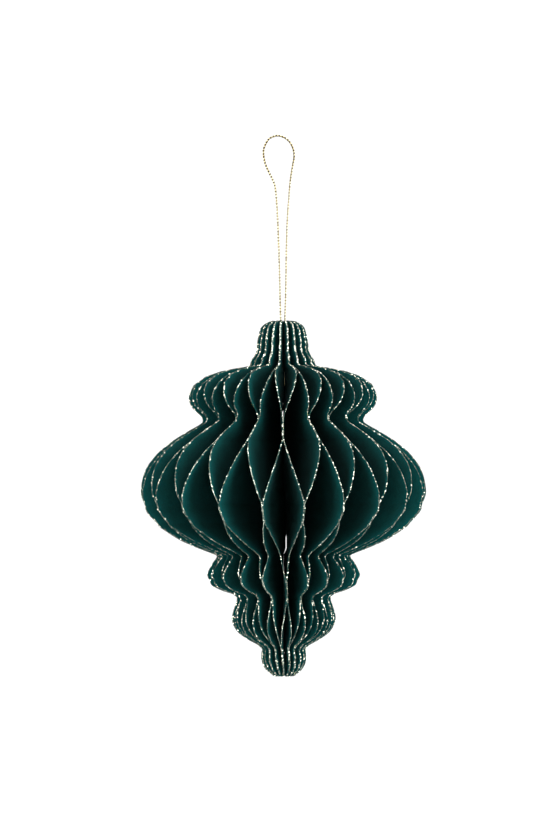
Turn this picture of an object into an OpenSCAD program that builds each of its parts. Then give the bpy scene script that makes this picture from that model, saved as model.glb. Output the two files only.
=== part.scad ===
// Paper finial ornament for hanging: stiff card leaves, all cut with one die to half of a
// turned finial's outline, stand round an upright axis like the pages of an open book.
// Neighbouring leaves are glued face to face in pairs, along level bands. From one band to the
// next each leaf changes its partner, so every leaf is pulled to one side and then to the other,
// and open diamond cells stand between the bands. A thin cord loop is tied into the hollow core.
// Sizes are in millimetres and angles in degrees. The origin is the point where the loop hangs,
// at the inside of its top, on the ornament's axis. The front faces -Y.

/* [Card leaves] */
// Number of leaves round the axis, always even
leaf_count = 42; // [36:2:46]
// Thickness of the card
card_t = 0.25; // [0.2:0.01:0.3]
// Thickness of the glue between two leaves
glue_film = 0.02; // [0.01:0.01:0.04]
// Spare room that the packed leaves leave round the throat of the core
throat_ease = 0.25; // [0.2:0.05:0.5]
// How far the core widens from its throat to the chamber that holds the knot
chamber_step = 0.8; // [0.6:0.05:1]
// Height over which the core widens just below the cap, and narrows again below the knot
chamber_slope_h = 3; // [2:0.25:4]
// How far the chamber reaches below the knot before it narrows
chamber_below = 0.5; // [0.3:0.1:1]

/* [Cap] */
// Radius of the cap's flat top
cap_top_r = 4; // [3.6:0.1:5]
// Radius of the cap's side
cap_side_r = 8.5; // [7.5:0.1:9]
// Distance from the top to the cap's side
cap_side_drop = 6.4; // [5:0.1:8]
// Radius of the cap's flared rim
cap_rim_r = 11.2; // [10:0.1:12.5]
// Distance from the cap's side to its rim
cap_rim_drop = 8.7; // [8:0.1:10]

/* [Collar] */
// Largest radius of the collar
collar_r = 32; // [29:0.1:34]
// Distance from the cap's rim to the widest of the collar
collar_drop = 10.7; // [9.5:0.1:12]
// Radius of the waist under the collar
collar_waist_r = 26.9; // [24:0.1:28]
// Distance from the collar to the waist under it
collar_waist_drop = 8; // [7:0.1:9]

/* [Belly] */
// Largest radius of the belly, and of the ornament
belly_r = 48.4; // [45:0.1:51]
// Distance from the collar's waist to the widest of the belly
belly_drop = 24; // [22:0.1:26]
// Radius of the waist under the belly
belly_waist_r = 22.5; // [20:0.1:24]
// Distance from the belly to the waist under it
belly_waist_drop = 21.8; // [21:0.1:25]

/* [Lower bulb] */
// Largest radius of the lower bulb
bulb_r = 25.8; // [24.5:0.1:27]
// Distance from the belly's waist to the widest of the lower bulb
bulb_drop = 6.1; // [5:0.1:7]
// Radius of the waist under the lower bulb
bulb_waist_r = 15.5; // [13:0.1:17]
// Distance from the lower bulb to the waist under it
bulb_waist_drop = 8.5; // [8:0.1:10]

/* [Ball] */
// Largest radius of the ball
ball_r = 17.5; // [17.1:0.1:19]
// Distance from the bulb's waist to the widest of the ball
ball_drop = 6.5; // [5.5:0.1:7]
// Radius of the waist under the ball
ball_waist_r = 7.3; // [6:0.1:7.5]
// Distance from the ball to the waist under it
ball_waist_drop = 10.1; // [9:0.1:12]

/* [Foot] */
// Largest radius of the foot
foot_r = 7.6; // [7.5:0.1:9]
// Distance from the ball's waist to the widest of the foot
foot_drop = 3; // [2:0.1:4]
// Radius of the foot's flat end
foot_end_r = 3.4; // [3.2:0.1:4.5]
// Distance from the widest of the foot to its end
foot_end_drop = 6.2; // [5:0.1:8]

/* [Glue bands] */
// How far the cap's band reaches below the cap's rim
cap_band_below = 1.9; // [1:0.1:3]
// Distance from the collar's waist to the band under it
collar_band_below = 0.2; // [0.1:0.1:1.5]
// Height of the band under the collar
collar_band_h = 7.4; // [5:0.1:9]
// Distance from the widest of the belly to the belly's band
belly_band_below = 4.4; // [3:0.1:7]
// Height of the belly's band
belly_band_h = 6.3; // [4:0.1:8]
// Distance from the widest of the lower bulb to its band
bulb_band_below = 1.8; // [1:0.1:3]
// Height of the lower bulb's band
bulb_band_h = 6.4; // [5:0.1:8]
// How far the foot's band reaches above the ball's waist
foot_band_above = 0.5; // [0.2:0.1:2]

/* [Wring] */
// Turn of the cap's band round the axis, at its upper end
cap_turn = 2.8; // [-3:0.1:3]
// How much further the cap's band is turned at its lower end
cap_twist = -0.8; // [-2:0.1:3]
// Turn of the band under the collar
collar_turn = -0.2; // [-3:0.1:3]
// Turn of the belly's band
belly_turn = -0.8; // [-3:0.1:3]
// Turn of the lower bulb's band, at its upper end
bulb_turn = 0.7; // [-2:0.1:3]
// How much further the lower bulb's band is turned at its lower end
bulb_twist = 2.2; // [-2:0.1:3]
// Turn of the foot's band, at its upper end
foot_turn = 2.4; // [0:0.1:4]
// How much further the foot's band is turned at its lower end
foot_twist = 6; // [0:0.1:7]
// How far the fan's spread, closer in three places round the axis, moves a pair
spread_wave = 0.7; // [0:0.1:1]
// How far a hand-laid pair stands off that place
unevenness = 0.5; // [0:0.1:1]
// How far the seam at the back, where the fan is closed, pulls its pairs round the axis
seam_pull = -2.5; // [-4:0.1:0]

/* [Hanging loop] */
// Diameter of the cord
cord_d = 0.7; // [0.5:0.05:0.8]
// Height of the knot's barrel
knot_h = 4.5; // [4:0.1:6]
// Gap between the knot and the leaves round it
knot_gap = 0.1; // [0.05:0.05:0.3]
// Distance from the top of the chamber down to the knot
knot_below = 0.5; // [0.2:0.1:1]

/* [Hidden] */
// Angle between two leaves, and between two pairs in one band
pitch = 360 / leaf_count;
pair_count = leaf_count / 2;
// Distance from a pair's mid-plane to the middle of either card
pair_offset = (card_t + glue_film) / 2;
// Height of the cap's top, below the point where the loop hangs
top_z = -63;

// Depths below the top of the cap
cap_side_z = cap_side_drop;
cap_rim_z = cap_side_z + cap_rim_drop;
collar_z = cap_rim_z + collar_drop;
collar_waist_z = collar_z + collar_waist_drop;
belly_z = collar_waist_z + belly_drop;
belly_waist_z = belly_z + belly_waist_drop;
bulb_z = belly_waist_z + bulb_drop;
bulb_waist_z = bulb_z + bulb_waist_drop;
ball_z = bulb_waist_z + ball_drop;
ball_waist_z = ball_z + ball_waist_drop;
foot_z = ball_waist_z + foot_drop;
end_z = foot_z + foot_end_drop;

// The die's outline from the top down. Each station has its radius and depth, the pull of the
// curve that arrives and of the curve that leaves, as shares of that curve's drop, and the
// number of steps to the next station.
outline_stations = [
    [cap_top_r, 0, 0, 0.06, 3],
    [cap_side_r, cap_side_z, 0.95, 0.78, 4],
    [cap_rim_r, cap_rim_z, 0.36, 0.1, 6],
    [collar_r, collar_z, 0.88, 0.55, 4],
    [collar_waist_r, collar_waist_z, 0.27, 0.09, 6],
    [belly_r, belly_z, 0.65, 0.7, 6],
    [belly_waist_r, belly_waist_z, 0.07, 0.17, 2],
    [bulb_r, bulb_z, 0.39, 0.79, 4],
    [bulb_waist_r, bulb_waist_z, 0.41, 0.26, 2],
    [ball_r, ball_z, 0.75, 0.62, 4],
    [ball_waist_r, ball_waist_z, 0.17, 0.3, 2],
    [foot_r, foot_z, 0.6, 0.68, 4],
    [foot_end_r, end_z, 0.07, 0, 1]
];

// Point of a cubic curve through four control points
function cubic(a, b, c, d, t) =
    pow(1 - t, 3) * a + 3 * pow(1 - t, 2) * t * b + 3 * (1 - t) * t * t * c + t * t * t * d;

// Point at share t of the way from one station to the next: upright at both ends
function outline_point(from, to, t) =
    let (drop = to[1] - from[1])
    cubic(
        [from[0], from[1]],
        [from[0], from[1] + from[3] * drop],
        [to[0], to[1] - to[2] * drop],
        [to[0], to[1]],
        t
    );

outline = [
    for (i = [0 : len(outline_stations) - 2])
        let (steps = outline_stations[i][4])
        for (k = [0 : steps - 1])
            outline_point(outline_stations[i], outline_stations[i + 1], k / steps),
    [foot_end_r, end_z]
];
radius_by_depth = [for (p = outline) [p[1], p[0]]];

// Bands of glue from the top down: depth of the upper and the lower end, turn round the axis at
// the upper end, twist down to the lower end, and whether the pairs are those of the cap
bands = [
    [0, cap_rim_z + cap_band_below, cap_turn, cap_twist, true],
    [collar_waist_z + collar_band_below, collar_waist_z + collar_band_below + collar_band_h,
        collar_turn, 0, false],
    [belly_z + belly_band_below, belly_z + belly_band_below + belly_band_h, belly_turn, 0, true],
    [bulb_z + bulb_band_below, bulb_z + bulb_band_below + bulb_band_h, bulb_turn, bulb_twist, false],
    [ball_waist_z - foot_band_above, end_z, foot_turn, foot_twist, true]
];

// The core: radius of the leaves' inner edges. It is as narrow as the packed leaves allow, but for
// the chamber round the knot.
throat_r = (card_t + glue_film) / sin(pitch) + throat_ease;
chamber_r = throat_r + chamber_step;
throat_z = bands[0][1];
chamber_z = throat_z + chamber_slope_h;
chamber_end_z = throat_z + knot_below + knot_h + chamber_below;
core_z = chamber_end_z + chamber_slope_h;
core_by_depth = [
    [0, throat_r],
    [throat_z, throat_r],
    [chamber_z, chamber_r],
    [chamber_end_z, chamber_r],
    [core_z, throat_r],
    [end_z, throat_r]
];

// Depths where a leaf's surface has a level crease, or its inner edge a corner
creases = [
    0, throat_z, chamber_z, chamber_end_z, core_z, bands[1][0], bands[1][1],
    bands[2][0], bands[2][1], bands[3][0], bands[3][1], bands[4][0], end_z
];
// An outline point closer than this to a crease is left out
crease_clearance = 0.3;

// Depths of the outer edge's points between two creases, with the upper crease
function edge_depths(upper, lower) = [
    upper,
    for (p = outline)
        if (p[1] > upper + crease_clearance && p[1] < lower - crease_clearance) p[1]
];
panels = [for (s = [0 : len(creases) - 2]) edge_depths(creases[s], creases[s + 1])];
outer_depths = [for (panel = panels) each panel, end_z];
// Index of the outer point at each crease
crease_index = [
    for (s = 0, k = 0; s < len(creases); k = k + (s < len(panels) ? len(panels[s]) : 0), s = s + 1) k
];

// Leaves are counted from 0 at the front, towards +X. An even leaf has its cap partner on its
// far side and its other partner on its near side, and an odd leaf the other way round.
function is_even(i) = i % 2 == 0;
function pair_number(i, cap_pairs) = (cap_pairs ? floor(i / 2) : floor((i + 1) / 2)) % pair_count;
function pair_angle(i, cap_pairs) = pitch * (cap_pairs == is_even(i) ? i + 1 : i);
function pair_side(i, cap_pairs) = cap_pairs == is_even(i) ? -1 : 1;

// How far a pair stands off its even place: the wave of the fan's spread, the small repeatable
// error of laying it by hand, and the pull of the seam, which fades away from the back
function laid_off(band, pair, angle) =
    spread_wave * cos(3 * angle)
    + unevenness * sin(263 * pair + 276 * band + 262 * pair * band)
    + seam_pull * pow(max(0, -cos(angle)), 4);

function angle_by_depth(i) = [
    for (b = [0 : len(bands) - 1])
        let (
            band = bands[b],
            even = pair_angle(i, band[4]),
            angle = even + band[2] + laid_off(b, pair_number(i, band[4]), even)
        )
        each [[band[0], angle], [band[1], angle + band[3]]]
];

function offset_by_depth(i) = [
    for (band = bands)
        let (shift = pair_side(i, band[4]) * pair_offset)
        each [[band[0], shift], [band[1], shift]]
];

// A point of a leaf: level line at the given depth, distance from the axis along the card,
// and distance to the side of the card's line
function leaf_point(radius, depth, angle, aside) = [
    radius * sin(angle) + aside * cos(angle),
    -radius * cos(angle) + aside * sin(angle),
    top_z - depth
];

// One card leaf. Between two creases its skin runs in fans from the inner corners to the outer
// edge, because every level line of the card is straight.
module leaf(i) {
    angles = angle_by_depth(i);
    offsets = offset_by_depth(i);
    outer = [
        for (d = outer_depths)
            for (face = [-1, 1])
                leaf_point(
                    lookup(d, radius_by_depth), d, lookup(d, angles),
                    lookup(d, offsets) + face * card_t / 2
                )
    ];
    inner = [
        for (d = creases)
            for (face = [-1, 1])
                leaf_point(
                    lookup(d, core_by_depth), d, lookup(d, angles),
                    lookup(d, offsets) + face * card_t / 2
                )
    ];
    first_inner = len(outer);
    last_outer = len(outer_depths) - 1;
    last_crease = len(creases) - 1;
    // Indices of an outer and of an inner point, on the near face (0) or the far face (1)
    function o(k, face) = 2 * k + face;
    function n(s, face) = first_inner + 2 * s + face;
    function facing(face, tri) = face == 0 ? tri : [tri[2], tri[1], tri[0]];
    skins = [
        for (face = [0, 1])
            for (s = [0 : last_crease - 1])
                let (
                    from = crease_index[s],
                    to = crease_index[s + 1],
                    middle = floor((from + to) / 2)
                )
                each [
                    for (k = [from : 1 : middle - 1])
                        facing(face, [n(s, face), o(k, face), o(k + 1, face)]),
                    facing(face, [n(s, face), o(middle, face), n(s + 1, face)]),
                    for (k = [middle : 1 : to - 1])
                        facing(face, [n(s + 1, face), o(k, face), o(k + 1, face)])
                ]
    ];
    outer_edge = [
        for (k = [0 : last_outer - 1])
            each [[o(k, 0), o(k, 1), o(k + 1, 0)], [o(k, 1), o(k + 1, 1), o(k + 1, 0)]]
    ];
    inner_edge = [
        for (s = [0 : last_crease - 1])
            each [[n(s, 0), n(s + 1, 0), n(s, 1)], [n(s, 1), n(s + 1, 0), n(s + 1, 1)]]
    ];
    ends = [
        [n(0, 0), n(0, 1), o(0, 0)],
        [n(0, 1), o(0, 1), o(0, 0)],
        [n(last_crease, 0), o(last_outer, 0), n(last_crease, 1)],
        [n(last_crease, 1), o(last_outer, 0), o(last_outer, 1)]
    ];
    color([0.04, 0.29, 0.26])
        polyhedron(points = concat(outer, inner), faces = concat(skins, outer_edge, inner_edge, ends));
}

// The cord's route: up from the knot, over the hanging point and down to the knot again
knot_top_z = top_z - throat_z - knot_below;
cord_route = [
    [-0.7, 0, knot_top_z],
    [-0.7, 0, -72],
    [-0.7, 0, -63],
    [-0.9, 0, -54],
    [-1.1, 0, -43],
    [-1.4, 0, -33.5],
    [-1.7, 0, -26],
    [-2.3, 0, -18],
    [-3.2, 0, -14.8],
    [-4.5, 0, -12.1],
    [-5.7, 0, -9.3],
    [-6.3, 0, -6.2],
    [-6.1, 0, -3.7],
    [-4.6, 0, -0.9],
    [-2.6, 0, 0.2],
    [-0.9, 0, 0.3],
    [1.2, 0, -0.5],
    [2.9, 0, -2.2],
    [3.9, 0, -4.6],
    [4.1, 0, -6.9],
    [3.6, 0, -10],
    [2.8, 0, -15],
    [2.3, 0, -21],
    [1.8, 0, -28],
    [1.4, 0, -38],
    [1.2, 0, -50],
    [0.8, 0, -63],
    [0.7, 0, -72],
    [0.7, 0, knot_top_z]
];
// Usual step between two rings of the cord, as a number of its diameters
cord_step = 3;
cord_sides = 8;

// The route's points with more of them on a smooth curve in between
last_route = len(cord_route) - 1;
function route_at(k) = cord_route[min(max(k, 0), last_route)];
function route_between(k, t) =
    let (a = route_at(k - 1), b = route_at(k), c = route_at(k + 1), d = route_at(k + 2))
    cubic(b, b + (c - a) / 6, c - (d - b) / 6, c, t);
cord_path = [
    for (k = [0 : last_route - 1])
        let (steps = max(1, round(norm(route_at(k + 1) - route_at(k)) / (cord_step * cord_d))))
        for (j = [0 : steps - 1])
            route_between(k, j / steps),
    cord_route[last_route]
];

module hanging_loop() {
    last_ring = len(cord_path) - 1;
    // The route stays near one upright plane, so each ring is laid out from the level across it
    function along(k) =
        k == 0 || k == last_ring ? [0, 0, k == 0 ? 1 : -1]
        : let (run = cord_path[k + 1] - cord_path[k - 1]) run / norm(run);
    rings = [
        for (k = [0 : last_ring])
            let (
                side = cross([0, 1, 0], along(k)),
                across = side / norm(side),
                level = cross(along(k), across)
            )
            for (j = [0 : cord_sides - 1])
                let (angle = 360 * j / cord_sides)
                cord_path[k] + cord_d / 2 * (cos(angle) * across + sin(angle) * level)
    ];
    function ring_point(k, j) = k * cord_sides + j % cord_sides;
    walls = [
        for (k = [0 : last_ring - 1])
            for (j = [0 : cord_sides - 1])
                each [
                    [ring_point(k, j), ring_point(k + 1, j), ring_point(k, j + 1)],
                    [ring_point(k, j + 1), ring_point(k + 1, j), ring_point(k + 1, j + 1)]
                ]
    ];
    color([0.8, 0.66, 0.34])
        polyhedron(
            points = rings,
            faces = concat(
                walls,
                [[for (j = [0 : cord_sides - 1]) ring_point(0, j)]],
                [[for (j = [0 : cord_sides - 1]) ring_point(last_ring, cord_sides - 1 - j)]]
            )
        );
}

// The knot that joins the cord's ends. It is wider than the throat, so it bears on the slope
// where the core narrows under the cap.
knot_slope = chamber_step / chamber_slope_h;
knot_r = chamber_r - knot_gap;
knot_top_r = throat_r + knot_below * knot_slope - knot_gap;
knot_edge = 0.3;

module cord_knot() {
    color([0.8, 0.66, 0.34])
        translate([0, 0, knot_top_z])
            rotate_extrude($fn = 48)
                polygon([
                    [0, 0],
                    [knot_top_r - knot_edge, 0],
                    [knot_top_r, -knot_edge],
                    [knot_r, -(knot_r - knot_top_r) / knot_slope],
                    [knot_r, knot_edge - knot_h],
                    [knot_r - knot_edge, -knot_h],
                    [0, -knot_h]
                ]);
}

function leaf_name(i) = str("leaf_", i < 9 ? "0" : "", i + 1);
for (i = [0 : leaf_count - 1])
    leaf(i);
hanging_loop();
cord_knot();
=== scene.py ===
"""A hanging finial of fanned green card with glittered edges, as its photograph shows it.

The script follows the ornament as it is made: the cord and its knot, the die-cut card leaves, which
are bent and stood round the axis, and the glitter that is laid on their edges. Lengths are in metres.
The origin is the point where the loop hangs, and the front faces -Y.
"""
import math

import bpy
import numpy as np
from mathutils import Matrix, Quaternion, Vector


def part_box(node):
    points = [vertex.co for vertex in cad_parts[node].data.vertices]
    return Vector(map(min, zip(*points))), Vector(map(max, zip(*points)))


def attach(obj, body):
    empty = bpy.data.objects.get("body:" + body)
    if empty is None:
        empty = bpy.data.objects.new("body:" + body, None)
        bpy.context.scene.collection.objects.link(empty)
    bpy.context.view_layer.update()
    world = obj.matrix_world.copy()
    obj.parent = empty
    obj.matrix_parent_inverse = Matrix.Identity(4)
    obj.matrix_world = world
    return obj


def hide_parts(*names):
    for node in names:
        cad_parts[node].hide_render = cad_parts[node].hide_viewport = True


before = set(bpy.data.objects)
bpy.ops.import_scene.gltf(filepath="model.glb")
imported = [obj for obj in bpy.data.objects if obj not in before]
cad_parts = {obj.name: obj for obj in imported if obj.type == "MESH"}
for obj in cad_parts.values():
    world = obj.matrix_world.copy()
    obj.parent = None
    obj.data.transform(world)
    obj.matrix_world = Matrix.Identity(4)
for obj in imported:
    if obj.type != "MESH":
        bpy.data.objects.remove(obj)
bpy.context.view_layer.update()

# Camera
# It stood about 0.9 m away and a little below the middle of the card, tipped up so that the loop is
# in the picture too, and not quite upright. The long side of the sensor spans the picture's height.
camera_away = 0.9
eye_height = -0.134
aim = Vector((-0.00271, 0, -0.0938))
height_seen_at_axis = 0.2793
camera_roll = math.radians(-0.2)
camera = bpy.data.objects.new("camera", bpy.data.cameras.new("camera"))
bpy.context.scene.collection.objects.link(camera)
bpy.context.scene.camera = camera
camera.location = (0, -camera_away, eye_height)
sight = aim - camera.location
camera.rotation_euler = (
    sight.to_track_quat("-Z", "Y") @ Quaternion((0, 0, 1), camera_roll)
).to_euler()
camera.data.lens = camera.data.sensor_width * sight.length / height_seen_at_axis
camera.data.clip_start = 0.05
camera.data.clip_end = 20


# Hanging loop
# Thin metallic cord of two foil-wrapped plies, laid up with a right-hand twist. Both ends run down
# through the cap into the knot, and the loop keeps the bends it had in its packing.
cord_d = 0.0007
cord_route = [
    (-0.0007, 0, -0.0805),
    (-0.0007, 0, -0.072),
    (-0.0007, 0, -0.063),
    (-0.0009, 0, -0.054),
    (-0.0011, 0, -0.043),
    (-0.0014, 0, -0.0335),
    (-0.0017, 0, -0.026),
    (-0.0023, 0, -0.018),
    (-0.0032, 0, -0.0148),
    (-0.0045, 0, -0.0121),
    (-0.0057, 0, -0.0093),
    (-0.0063, 0, -0.0062),
    (-0.0061, 0, -0.0037),
    (-0.0046, 0, -0.0009),
    (-0.0026, 0, 0.0002),
    (-0.0009, 0, 0.0003),
    (0.0012, 0, -0.0005),
    (0.0029, 0, -0.0022),
    (0.0039, 0, -0.0046),
    (0.0041, 0, -0.0069),
    (0.0036, 0, -0.01),
    (0.0028, 0, -0.015),
    (0.0023, 0, -0.021),
    (0.0018, 0, -0.028),
    (0.0014, 0, -0.038),
    (0.0012, 0, -0.05),
    (0.0008, 0, -0.063),
    (0.0007, 0, -0.072),
    (0.0007, 0, -0.0805),
]
ply_count = 2
ply_r = 0.00018
ply_lay = 0.0021  # length in which a ply goes once round the cord
ply_sides = 8
ring_step = 0.00016
span_points = 24  # points worked out between two given ones


def smooth_line(points, step):
    """Points an even step apart on the smooth curve through the given ones."""
    points = np.array(points, float)
    ends = np.vstack([points[0], points, points[-1]])
    t = np.linspace(0, 1, span_points, endpoint=False)[:, None]
    spans = []
    for a, b, c, d in zip(ends, ends[1:], ends[2:], ends[3:]):
        squared = 2 * a - 5 * b + 4 * c - d
        cubed = 3 * b - a - 3 * c + d
        spans.append(0.5 * (2 * b + (c - a) * t + squared * t**2 + cubed * t**3))
    fine = np.vstack([*spans, points[-1:]])
    run = np.concatenate([[0], np.cumsum(np.linalg.norm(np.diff(fine, axis=0), axis=1))])
    at = np.linspace(0, run[-1], max(2, round(run[-1] / step) + 1))
    return np.column_stack([np.interp(at, run, fine[:, k]) for k in range(fine.shape[1])]), at


def unit(vectors):
    return vectors / np.linalg.norm(vectors, axis=-1, keepdims=True)


def new_piece(name, points, faces):
    """A mesh object at the origin, made from arrays of points and of faces."""
    mesh = bpy.data.meshes.new(name)
    mesh.from_pydata(np.asarray(points).tolist(), [], [list(map(int, f)) for f in faces])
    mesh.update()
    piece = bpy.data.objects.new(name, mesh)
    bpy.context.scene.collection.objects.link(piece)
    return piece


def number_on_points(piece, name, values):
    """Keeps one number for each point of a piece, for its material to read."""
    attribute = piece.data.attributes.new(name, "FLOAT", "POINT")
    attribute.data.foreach_set("value", np.asarray(values, np.float32))


def tube(line, sides, r, first_side, second_side):
    """Points and faces of a closed round tube about a line, with its two cross directions."""
    turn = np.linspace(0, 2 * math.pi, sides, endpoint=False)
    rings = (
        line[:, None]
        + r * np.cos(turn)[None, :, None] * first_side[:, None]
        + r * np.sin(turn)[None, :, None] * second_side[:, None]
    )
    faces = []
    for k in range(len(line) - 1):
        for j in range(sides):
            a, b = k * sides + j, k * sides + (j + 1) % sides
            faces.append((a, b, b + sides, a + sides))
    faces.append(range(sides - 1, -1, -1))
    faces.append(range((len(line) - 1) * sides, len(line) * sides))
    return rings.reshape(-1, 3), faces


cord_line, cord_along = smooth_line(cord_route, ring_step)
cord_heading = unit(np.gradient(cord_line, axis=0))
level = np.tile([0.0, 1.0, 0.0], (len(cord_line), 1))
across = unit(np.cross(level, cord_heading))
ply_offset = cord_d / 2 - ply_r
cord_points, cord_faces = [], []
for ply in range(ply_count):
    round_angle = 2 * math.pi * (cord_along / ply_lay + ply / ply_count)
    outward = np.cos(round_angle)[:, None] * across + np.sin(round_angle)[:, None] * level
    sideways = -np.sin(round_angle)[:, None] * across + np.cos(round_angle)[:, None] * level
    heading = unit(cord_heading + 2 * math.pi * ply_offset / ply_lay * sideways)
    points, faces = tube(
        cord_line + ply_offset * outward, ply_sides, ply_r, outward, np.cross(heading, outward)
    )
    cord_faces += [[index + ply * len(points) for index in f] for f in faces]
    cord_points.append(points)
cord = new_piece("hanging_cord", np.vstack(cord_points), cord_faces)
cord.data.shade_smooth()
number_on_points(cord, "along", np.tile(np.repeat(cord_along, ply_sides), ply_count))
# How far round each ply a point lies, as a cosine from its outermost side. The foil's colour reads it as
# painted shade: the sides where the two plies face each other are coloured darker.
ply_turn = np.linspace(0, 2 * math.pi, ply_sides, endpoint=False)
number_on_points(cord, "outward", np.tile(np.cos(ply_turn), len(cord_line) * ply_count))


class Wire:
    """An output of a node. Arithmetic on it adds Math nodes to its material."""

    def __init__(self, finish, socket):
        self.finish = finish
        self.socket = socket

    def maths(self, operation, *values):
        return self.finish.add("Math", {"operation": operation}, dict(enumerate(values)))

    def __add__(self, other):
        return self.maths("ADD", self, other)

    def __sub__(self, other):
        return self.maths("SUBTRACT", self, other)

    def __mul__(self, other):
        return self.maths("MULTIPLY", self, other)

    def __truediv__(self, other):
        return self.maths("DIVIDE", self, other)

    def sine(self):
        return self.maths("SINE", self)


class Finish:
    """A material in the making."""

    def __init__(self, name):
        self.material = bpy.data.materials.new(name)
        self.material.use_nodes = True
        self.tree = self.material.node_tree
        self.tree.nodes.clear()

    def add(self, kind, settings, sockets, output=0):
        """Adds a node, sets it up, fills or wires its inputs and gives one of its outputs."""
        node = self.tree.nodes.new("ShaderNode" + kind)
        for key, value in settings.items():
            if key == "stops":
                ramp = node.color_ramp.elements
                while len(ramp) < len(value):
                    ramp.new(1)
                for stop, (place, colour) in zip(ramp, value):
                    stop.position = place
                    stop.color = colour
            else:
                setattr(node, key, value)
        for key, value in sockets.items():
            if isinstance(value, Wire):
                self.tree.links.new(value.socket, node.inputs[key])
            else:
                node.inputs[key].default_value = value
        return Wire(self, node.outputs[output]) if node.outputs else None

    def surface(self, sockets):
        """Ends the material with a Principled shader."""
        shader = self.add("BsdfPrincipled", {}, sockets)
        self.add("OutputMaterial", {}, {"Surface": shader})


def rgb(red, green, blue):
    """An opaque colour from its linear parts."""
    return (red, green, blue, 1.0)


foil = Finish("gold_foil_cord")
foil_run = foil.add("Attribute", {"attribute_name": "along"}, {}, "Fac")
# Painted shade in the crevice between the plies: their inner sides are coloured darker.
foil_crevice_shade = foil.add("Attribute", {"attribute_name": "outward"}, {}, "Fac")
foil_wrap_length = 0.00105
# The foil's winding, which also bumps the surface. In the colour it is partly painted shadow, darkening the
# cord where its two plies cross.
foil_wrap_and_crossing_shade = (foil_run * (2 * math.pi / foil_wrap_length)).sine()
foil_patch = foil.add(
    "TexNoise", {"noise_dimensions": "1D"}, {"W": foil_run, "Scale": 700.0, "Detail": 2.0}, "Fac"
)
# Painted shade: the cord is coloured darker towards the head of the loop.
foil_height = foil.add("SeparateXYZ", {}, {"Vector": foil.add("TexCoord", {}, {}, "Object")}, "Z")
foil_head_shade = foil.add(
    "MapRange",
    {},
    {"Value": foil_height, "From Min": -0.02, "From Max": -0.008, "To Min": 0.0, "To Max": 0.26},
)
# The foil's colour comes from its winding and random patches, with painted shade where the plies cross, in
# their crevice and at the loop's head.
foil_colour = foil.add(
    "ValToRGB",
    {"stops": [
        (0.2, rgb(0.08, 0.05, 0.008)),
        (0.42, rgb(0.50, 0.37, 0.10)),
        (0.6, rgb(0.97, 0.90, 0.55)),
        (0.8, rgb(1.0, 0.98, 0.85)),
    ]},
    {"Fac": foil_wrap_and_crossing_shade * 0.36 + foil_patch * 0.5 + foil_crevice_shade * 0.12 + 0.17 - foil_head_shade},
)
foil.surface({
    "Base Color": foil_colour,
    "Metallic": 0.55,
    "Roughness": foil_patch * 0.3 + 0.15,
    "Normal": foil.add("Bump", {}, {"Strength": 0.5, "Distance": 0.00003, "Height": foil_wrap_and_crossing_shade}),
})
cord.data.materials.append(foil.material)


# Knot
# The cord's two ends are wound round themselves and drawn tight inside the hollow core. The knot is
# wider than the throat above it, so the card's weight hangs on it.
knot_low, knot_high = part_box("cord_knot")
knot_r = knot_high.x
knot_neck_r = knot_r * 0.76
knot_turns = 6
knot_turn_h = (knot_high.z - knot_low.z) / knot_turns
winding_r = knot_turn_h / 2 * 1.06
knot_parts = []
for turn in range(knot_turns):
    at = min(1.0, (turn + 0.35) / (knot_turns - 2))
    reach = knot_neck_r + (knot_r - knot_neck_r) * at
    bpy.ops.object.select_all(action="DESELECT")
    bpy.ops.mesh.primitive_torus_add(
        major_segments=40,
        minor_segments=12,
        major_radius=reach - winding_r,
        minor_radius=winding_r,
        location=(0, 0, knot_high.z - (turn + 0.5) * knot_turn_h),
    )
    ring = bpy.context.object
    slant = 0.5 * knot_turn_h / reach
    for v in ring.data.vertices:
        v.co.z += slant * v.co.x * 0.5
    knot_parts.append(ring)
core_r = knot_neck_r - winding_r
bpy.ops.object.select_all(action="DESELECT")
core_h = knot_high.z - knot_low.z - 0.0006
bpy.ops.mesh.primitive_cylinder_add(
    vertices=32, radius=core_r, depth=core_h, location=(0, 0, (knot_high.z + knot_low.z) / 2)
)
core = bpy.context.object
bpy.ops.object.mode_set(mode="EDIT")
bpy.ops.mesh.select_all(action="SELECT")
bpy.ops.mesh.bevel(offset=0.0002, segments=3)
bpy.ops.object.mode_set(mode="OBJECT")
for part in knot_parts:
    part.select_set(True)
core.select_set(True)
bpy.context.view_layer.objects.active = core
bpy.ops.object.join()
knot = bpy.context.object
knot.name = "wound_knot"
bpy.ops.object.transform_apply(location=True, rotation=True, scale=True)
knot.data.shade_smooth()
knot_places = [v.co.copy() for v in knot.data.vertices]
number_on_points(knot, "along", [0.004 * math.atan2(p.y, p.x) for p in knot_places])
# How far out from the core a point of the winding lies. The foil's colour reads it as painted shade, darker
# nearer the core.
number_on_points(
    knot, "outward", [(math.hypot(p.x, p.y) - core_r) / winding_r for p in knot_places]
)
knot.data.materials.append(foil.material)

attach(cord, "root")
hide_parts("hanging_loop")
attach(knot, "root")
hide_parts("cord_knot")


# Card leaves
# Stiff velvety card, cut by one die to half of the finial's outline and bent by hand along level
# lines. Each stands where the frame has it, glued to one neighbour in one band and to the other in
# the next. The outline and the bends are read from the frame's own leaves.
leaf_names = sorted(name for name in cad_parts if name.startswith("leaf_"))
leaf_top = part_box(leaf_names[0])[1].z
row_step = 0.0009
edge_round = 0.00004
outer_depth = 0.00025  # points this near to a level's outermost are on the cut edge
core_reach = 0.0032  # a level with a point nearer to the axis is a crease
row_gap = 0.00008


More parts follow.
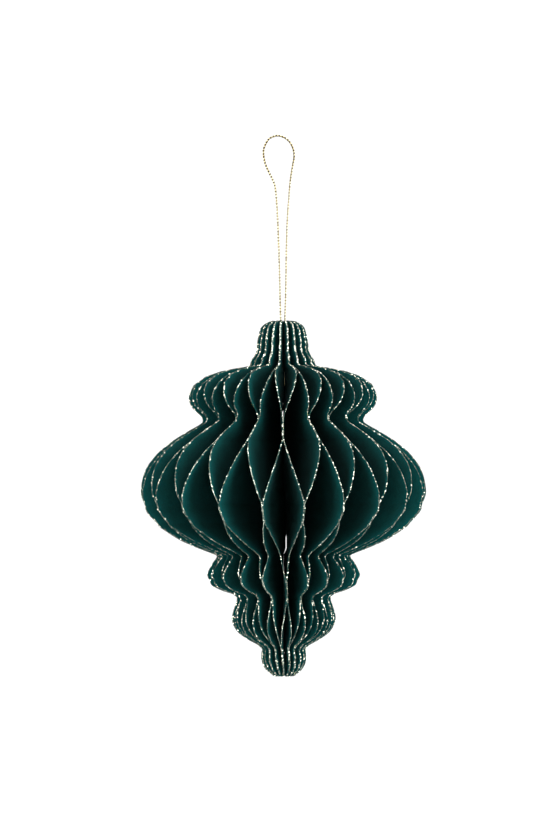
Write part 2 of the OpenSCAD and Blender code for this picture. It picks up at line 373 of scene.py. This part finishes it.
def leaf_levels(name):
    """Where a leaf of the frame lies at each of its levels, from the top down: depth, outer and
    inner radius, angle round the axis from the front, and offset of the card's middle."""
    levels = {}
    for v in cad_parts[name].data.vertices:
        levels.setdefault(round(v.co.z, 6), []).append((v.co.x, v.co.y))
    found = []
    for z in sorted(levels, reverse=True):
        points = np.array(levels[z])
        reach = np.hypot(points[:, 0], points[:, 1])
        outer = points[reach > reach.max() - outer_depth]
        middle = outer.mean(axis=0)
        side = unit(np.array([-middle[1], middle[0]]))
        order = outer @ side
        near, far = outer[order.argmin()], outer[order.argmax()]
        side = unit(far - near)
        run = np.array([side[1], -side[0]])
        middle = (near + far) / 2
        found.append((
            leaf_top - z,
            middle @ run,
            reach.min() if reach.min() < core_reach else np.nan,
            math.atan2(side[1], side[0]),
            middle @ side,
            np.linalg.norm(far - near),
        ))
    return np.array(found).T


depth_at, outer_at, inner_at, _, _, thickness_at = leaf_levels(leaf_names[0])
card_t = float(np.median(thickness_at))
is_crease = ~np.isnan(inner_at)
crease_depths = depth_at[is_crease]
outline, edge_run = smooth_line(np.column_stack([outer_at, depth_at]), row_step)
row_depths = np.unique(np.concatenate([outline[:, 1], crease_depths]).round(7))
row_depths = row_depths[np.concatenate([[True], np.diff(row_depths) > row_gap])]
row_depths[-1] = depth_at[-1]


def outline_radius(depth):
    return np.interp(depth, outline[:, 1], outline[:, 0])


def core_radius(depth):
    return np.interp(depth, crease_depths, inner_at[is_crease])


def die_cut_leaf():
    """One flat leaf as it leaves the die: X is the radius, Y goes through the card, Z is minus
    the depth below the cap's top."""
    bpy.ops.object.select_all(action="DESELECT")
    rows = len(row_depths) - 1
    bpy.ops.mesh.primitive_grid_add(x_subdivisions=4, y_subdivisions=rows, size=1)
    leaf = bpy.context.object
    for v in leaf.data.vertices:
        depth = row_depths[round((0.5 - v.co.y) * rows)]
        inner, outer = core_radius(depth), outline_radius(depth)
        v.co = (inner + (v.co.x + 0.5) * (outer - inner), 0, -depth)
    thicken = leaf.modifiers.new("card", "SOLIDIFY")
    thicken.thickness = card_t
    thicken.offset = 0
    rounding = leaf.modifiers.new("cut_edge", "BEVEL")
    rounding.width = edge_round
    rounding.limit_method = "ANGLE"
    rounding.angle_limit = math.radians(60)
    for modifier in (thicken, rounding):
        bpy.ops.object.modifier_apply(modifier=modifier.name)
    bpy.ops.object.shade_smooth_by_angle(angle=math.radians(30))
    return leaf


# How far the leaves' inner ends stand off to +X from where they should be, at some depths: those of
# the right half, those of the left half, and those at the front against those at the back.
mm_per_m = 1000
drift_depth = np.array(
    [16.5, 17.5, 26, 28, 30.5, 31, 37, 38.5, 57, 59, 77, 79, 112, 114, 118, 120]
) / mm_per_m
drift_right = np.array([0, -0.05, -0.05, 0, 0, 0, 0, 0, 0, 0.97, 0.97, 0, 0, -0.05, -0.05, 0]) / mm_per_m
drift_left = np.array([0, 0.05, 0.05, 0, 0, -0.74, -0.74, 0, 0, 0.66, 0.66, 0, 0, 0.05, 0.05, 0]) / mm_per_m
drift_front = np.array([0, 0.5, 0.5, 0, 0, 0, 0, 0, 0, 0, 0, 0, 0, 0.5, 0.5, 0]) / mm_per_m


def bend(points, levels):
    """Moves points of the flat leaf to where the bent leaf with these levels has them."""
    depth_l, _, _, angle_l, offset_l, _ = levels
    depth = np.clip(-points[:, 2], 0, depth_l[-1])
    angle = np.interp(depth, depth_l, np.unwrap(angle_l))
    aside = np.interp(depth, depth_l, offset_l) + points[:, 1]
    half = drift_right if np.sin(angle).mean() > 0 else drift_left
    front = np.interp(depth, drift_depth, drift_front)
    drift = np.interp(depth, drift_depth, half) + np.cos(angle) * front
    inner, outer = core_radius(depth), outline_radius(depth)
    inwardness = 1 - (points[:, 0] - inner) / (outer - inner)
    drift *= np.clip(inwardness, 0, 1) ** 2
    return np.column_stack([
        points[:, 0] * np.sin(angle) + aside * np.cos(angle) + drift,
        -points[:, 0] * np.cos(angle) + aside * np.sin(angle),
        leaf_top + points[:, 2],
    ])


flat_leaf = die_cut_leaf()
flat_points = np.array([v.co for v in flat_leaf.data.vertices])
# Each point's distance in from the cut edge, which the card's painted shade reads.
from_edge = outline_radius(-flat_points[:, 2]) - flat_points[:, 0]
number_on_points(flat_leaf, "from_edge", from_edge)

painted_shade_depth = 0.014  # painted shade: the card's colour darkens this far in from its cut edge
card = Finish("green_velvet_card")
card_place = card.add("TexCoord", {}, {}, "Object")
card_nap = card.add("TexNoise", {}, {"Vector": card_place, "Scale": 3200.0, "Detail": 3.0}, "Fac")
card_cloud = card.add("TexNoise", {}, {"Vector": card_place, "Scale": 160.0, "Detail": 2.0}, "Fac")
card_colour = card.add(
    "ValToRGB",
    {"stops": [(0.25, rgb(0.003, 0.080, 0.077)), (0.75, rgb(0.008, 0.170, 0.164))]},
    {"Fac": card_nap * 0.7 + card_cloud * 0.3},
)
# Painted light and shade: the colour is full at the cut edge and darkened the deeper a point lies towards
# the core, where the cells are in shade.
card_inward = card.add("Attribute", {"attribute_name": "from_edge"}, {}, "Fac")
card_painted_shade = card.add(
    "ValToRGB",
    {"stops": [
        (0.0, rgb(1.0, 1.0, 1.0)),
        (0.1, rgb(0.75, 0.75, 0.75)),
        (0.3, rgb(0.50, 0.50, 0.50)),
        (0.6, rgb(0.36, 0.36, 0.36)),
        (1.0, rgb(0.30, 0.30, 0.30)),
    ]},
    {"Fac": card_inward / painted_shade_depth},
)
card.surface({
    "Base Color": card.add(
        "Mix",
        {"data_type": "RGBA", "blend_type": "MULTIPLY"},
        {0: 1.0, 6: card_colour, 7: card_painted_shade},
        2,
    ),
    "Roughness": 0.9,
    "Specular IOR Level": 0.06,
    "Sheen Weight": 0.03,
    "Sheen Roughness": 0.45,
    "Sheen Tint": rgb(0.35, 0.75, 0.70),
    "Normal": card.add("Bump", {}, {"Strength": 0.35, "Distance": 0.00006, "Height": card_nap}),
})
flat_leaf.data.materials.append(card.material)

leaves = {name: leaf_levels(name) for name in leaf_names}
for name, levels in leaves.items():
    mesh = flat_leaf.data.copy()
    mesh.vertices.foreach_set("co", bend(flat_points, levels).ravel())
    mesh.update()
    leaf = bpy.data.objects.new("card_" + name, mesh)
    bpy.context.scene.collection.objects.link(leaf)
    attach(leaf, "root")
    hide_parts(name)
bpy.data.objects.remove(flat_leaf)


# Glittered edges
# After the fan is glued, its cut edges are drawn through clear glue and dipped in gold glitter: thin
# hexagonal flakes of metallised film. They lie at odd angles on a cut edge and lap a little over both
# faces of the card, but not between two cards that are glued.
flake_r = 0.00013
flake_t = 0.00005
edge_flakes = 860
lap_flakes = 460
lap = 0.00012
tilt = 0.5
patch_length = 0.00022
tilt_jitter = 0.06
glue_lift = 0.00003
glued_share = 0.92  # a leaf is glued where it stands off by this share of its greatest offset

bpy.ops.object.select_all(action="DESELECT")
bpy.ops.mesh.primitive_cone_add(vertices=6, radius1=0, radius2=1, depth=1)
flake = bpy.context.object
flake_points = np.array([v.co for v in flake.data.vertices])
flake_points[:, 2] -= 0.5
flake_faces = [list(face.vertices) for face in flake.data.polygons]
bpy.data.objects.remove(flake)


def strewn(random, count):
    """Places along the cut edge for a number of flakes, unevenly spaced."""
    return (np.arange(count) + random.uniform(0, 1, count)) * (edge_run[-1] / count)


def glitter_for(number, levels):
    """Points, faces and shade-and-gloss numbers of one leaf's flakes, laid on the flat leaf and bent with
    it.
    """
    random = np.random.default_rng(number)
    run = np.concatenate([strewn(random, edge_flakes), strewn(random, lap_flakes)])
    count = len(run)
    on_edge = np.arange(count) < edge_flakes
    heading = unit(np.gradient(outline, axis=0))
    head_r = np.interp(run, edge_run, heading[:, 0])
    head_d = np.interp(run, edge_run, heading[:, 1])
    outward = np.column_stack([head_d, np.zeros(count), head_r])
    radius = np.interp(run, edge_run, outline[:, 0])
    depth = np.interp(run, edge_run, outline[:, 1])
    face = random.choice([-1.0, 1.0], count)
    aside = np.where(on_edge, random.uniform(-0.3, 0.3, count), 0.5 * face) * card_t
    back = np.where(on_edge, -0.00002, random.uniform(0.05, 1, count) * lap)
    centre = np.column_stack([radius, aside, -depth]) - outward * back[:, None]
    through = np.column_stack([np.zeros(count), face, np.zeros(count)])
    patch = (run / patch_length).astype(int) * 3 + np.where(on_edge, 1, 1 + face).astype(int)
    tilts = random.normal(0, tilt, (patch.max() + 1, 3))
    facing = np.where(on_edge[:, None], outward, through + 0.5 * outward)
    facing = unit(facing + tilts[patch] + random.normal(0, tilt_jitter, (count, 3)))
    centre += facing * glue_lift
    first = unit(np.cross(facing, random.normal(0, 1, (count, 3))))
    second = np.cross(facing, first)
    size = flake_r * random.uniform(0.7, 1.15, count)
    corners = (
        centre[:, None]
        + size[:, None, None] * flake_points[None, :, 0, None] * first[:, None]
        + size[:, None, None] * flake_points[None, :, 1, None] * second[:, None]
        + flake_t * flake_points[None, :, 2, None] * facing[:, None]
    )
    offset = np.interp(depth, levels[0], levels[4])
    in_band = np.abs(offset) > glued_share * np.abs(levels[4]).max()
    glued = ~on_edge & in_band & (face != np.sign(offset))
    kept = np.flatnonzero(~glued)
    points = corners[kept].reshape(-1, 3)
    faces = [
        [index + k * len(flake_points) for index in flake_face]
        for k in range(len(kept))
        for flake_face in flake_faces
    ]
    # One number for each patch of flakes sets its gloss and how dark it is coloured. The dark colours are
    # painted shade, for flakes that lie in the shadow of the ones over them.
    tint = np.repeat(random.uniform(0, 1, patch.max() + 1)[patch[kept]], len(flake_points))
    return points, faces, tint


glitter = Finish("gold_glitter")
glitter_shade_and_gloss = glitter.add("Attribute", {"attribute_name": "tint"}, {}, "Fac")
# Painted shade: low numbers colour a flake nearly black, and high ones give it the gold's own pale colour.
glitter_colour = glitter.add(
    "ValToRGB",
    {"stops": [
        (0.0, rgb(0.03, 0.035, 0.025)),
        (0.3, rgb(0.22, 0.23, 0.17)),
        (0.5, rgb(0.97, 1.0, 0.85)),
    ]},
    {"Fac": glitter_shade_and_gloss},
)
glitter.surface({
    "Base Color": glitter_colour,
    "Metallic": 1.0,
    "Roughness": glitter_shade_and_gloss * -0.34 + 0.4,
})
for number, (name, levels) in enumerate(leaves.items()):
    points, faces, tint = glitter_for(number, levels)
    edge = new_piece("glitter_" + name, bend(points, levels), faces)
    number_on_points(edge, "tint", tint)
    edge.data.materials.append(glitter.material)
    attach(edge, "root")


# Studio
# A white sweep behind the ornament, a pale floor far below it, an upright soft box to each side and
# a small one above. The camera's side is dim, so the cells between the front leaves stay black.
# More strips stand round it, which only the glitter and the foil mirror.
bpy.context.scene.view_settings.view_transform = "Standard"
floor_z = -0.38
bpy.ops.object.select_all(action="DESELECT")
bpy.ops.mesh.primitive_circle_add(
    vertices=96, radius=1.2, fill_type="NGON", location=(0, 0, floor_z)
)
floor = bpy.context.object
floor.name = "studio_floor"
floor_finish = Finish("pale_floor")
floor_finish.surface({"Base Color": rgb(0.86, 0.86, 0.85), "Roughness": 0.9})
floor.data.materials.append(floor_finish.material)


light_aim = Vector((0, 0, -0.12))


def soft_box(name, azimuth, height, away, width, tall, power, on_card=True):
    """An area light that faces the ornament. Azimuth 0 is the camera's side, 90 is +X."""
    light = bpy.data.lights.new(name, "AREA")
    light.shape = "RECTANGLE"
    light.size = width
    light.size_y = tall
    light.energy = power
    lamp = bpy.data.objects.new(name, light)
    bpy.context.scene.collection.objects.link(lamp)
    turn = math.radians(azimuth)
    lamp.location = (away * math.sin(turn), -away * math.cos(turn), height)
    lamp.rotation_euler = (light_aim - lamp.location).to_track_quat("-Z", "Y").to_euler()
    lamp.visible_camera = False
    lamp.visible_diffuse = on_card


soft_box("left_box", -43, -0.2, 1.3, 0.42, 1.6, 10.5)
soft_box("right_box", 44, -0.12, 1.3, 0.42, 1.6, 14)
soft_box("top_box", 40, 1.0, 0.65, 0.9, 0.9, 3)
for number, azimuth in enumerate((-100, -72, -16, 16, 72, 100)):
    soft_box("glint_strip_%d" % number, azimuth, -0.12, 1.3, 0.4, 1.8, 16, on_card=False)
soft_box("glint_top", 0, 1.1, 0.5, 1.2, 0.8, 14, on_card=False)
soft_box("glint_low", 0, -1.3, 0.6, 1.2, 0.8, 14, on_card=False)

world = bpy.data.worlds.new("studio")
bpy.context.scene.world = world
world.use_nodes = True
nodes, links = world.node_tree.nodes, world.node_tree.links
nodes.clear()
direction = nodes.new("ShaderNodeTexCoord")
parts = nodes.new("ShaderNodeSeparateXYZ")
sweep = nodes.new("ShaderNodeMapRange")
sweep.inputs["From Min"].default_value = -0.3
sweep.inputs["From Max"].default_value = 0.6
sweep.inputs["To Min"].default_value = 0.05
sweep.inputs["To Max"].default_value = 0.4
seen = nodes.new("ShaderNodeLightPath")
light_side = nodes.new("ShaderNodeBackground")
camera_side = nodes.new("ShaderNodeBackground")
camera_side.inputs["Strength"].default_value = 1.1
camera_side.inputs["Color"].default_value = (1, 1, 1, 1)
mix = nodes.new("ShaderNodeMixShader")
out = nodes.new("ShaderNodeOutputWorld")
links.new(direction.outputs["Generated"], parts.inputs[0])
links.new(parts.outputs["Y"], sweep.inputs["Value"])
links.new(sweep.outputs["Result"], light_side.inputs["Strength"])
links.new(seen.outputs["Is Camera Ray"], mix.inputs["Fac"])
links.new(light_side.outputs[0], mix.inputs[1])
links.new(camera_side.outputs[0], mix.inputs[2])
links.new(mix.outputs[0], out.inputs["Surface"])

bpy.context.view_layer.update()
